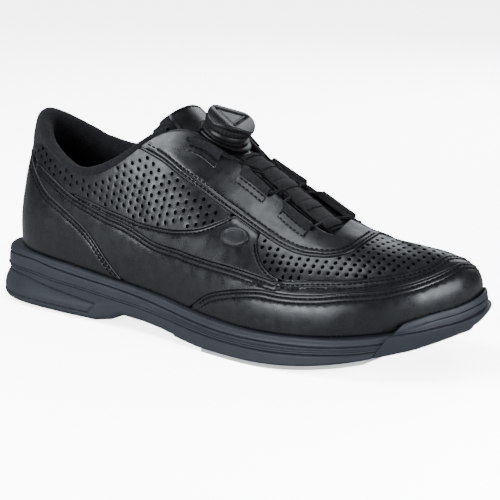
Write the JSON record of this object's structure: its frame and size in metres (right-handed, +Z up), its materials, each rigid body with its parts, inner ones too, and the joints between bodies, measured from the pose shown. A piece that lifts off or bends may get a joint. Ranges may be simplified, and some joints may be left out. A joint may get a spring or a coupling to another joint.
{
  "type": "bowling shoe",
  "caption": "Low-cut leather bowling shoe for the right foot with perforated panels, a padded tongue, a turn-dial lace closure, a raised rubber toe piece and a slide sole.",
  "frame": {"origin": "centre of the heel's ground-contact face", "axes": "+X from heel to toe, +Y towards the inner (left) side of the foot, +Z up"},
  "size_m": [0.3024, 0.1027, 0.1174],
  "materials": {
    "sole_rubber": "matte",
    "heel_rubber": "matte",
    "slide_microfibre": "matte",
    "smooth_leather": "satin",
    "perforated_leather": "satin",
    "lining_fabric": "matte",
    "collar_foam": "matte",
    "footbed_foam": "matte",
    "fibre_board": "matte",
    "stiffener_sheet": "matte",
    "spring_steel": "satin",
    "webbing": "matte",
    "lace_cord": "satin",
    "dial_plastic": "satin",
    "cap_plastic": "gloss",
    "grip_rubber": "matte",
    "emblem_plastic": "satin"
  },
  "bodies": {
    "shoe": {"outsole": "sole_rubber", "midsole": "sole_rubber", "toe_bumper": "sole_rubber", "heel_tread": "heel_rubber", "slide_sole": "slide_microfibre", "shank": "spring_steel", "insole_board": "fibre_board", "footbed": "footbed_foam", "heel_counter": "smooth_leather", "side_wrap": "smooth_leather", "mid_panel_outer": "smooth_leather", "mid_panel_inner": "smooth_leather", "apron": "smooth_leather", "toe_mudguard": "smooth_leather", "quarter_outer": "perforated_leather", "quarter_inner": "perforated_leather", "vamp": "perforated_leather", "collar_lining": "lining_fabric", "vamp_lining": "lining_fabric", "gusset_outer": "lining_fabric", "gusset_inner": "lining_fabric", "collar_foam": "collar_foam", "counter_stiffener": "stiffener_sheet", "toe_puff": "stiffener_sheet", "side_emblem": "emblem_plastic", "lace": "lace_cord", "lace_loop_outer_1": "webbing", "lace_loop_inner_1": "webbing", "lace_loop_outer_2": "webbing", "lace_loop_inner_2": "webbing", "lace_loop_outer_3": "webbing", "lace_loop_inner_3": "webbing"},
    "tongue": {"tongue_pad": "lining_fabric", "tongue_cover": "smooth_leather", "centre_strap": "webbing", "dial_flange": "dial_plastic", "dial_housing": "dial_plastic", "dial_post": "spring_steel"},
    "spool": {"lace_spool": "dial_plastic"},
    "dial_knob": {"ratchet_disc": "dial_plastic", "knob_core": "dial_plastic", "knob_grip": "grip_rubber", "knob_cap": "cap_plastic"}
  },
  "joints": [
    {"name": "tongue_tilt", "type": "hinge", "parent": "shoe", "child": "tongue", "pos_m": [0.191, 0, 0.0595], "axis": [0, 1, 0], "range_deg": [0, 18], "deforming": ["lace"]},
    {"name": "dial_turn", "type": "hinge", "parent": "tongue", "child": "spool", "pos_m": [0.1144, 0, 0.1027], "axis": [0.4226, 0, 0.9063], "continuous": true},
    {"name": "dial_pull", "type": "slide", "parent": "spool", "child": "dial_knob", "axis": [0.4226, 0, 0.9063], "range_m": [0, 0.003]}
  ]
}
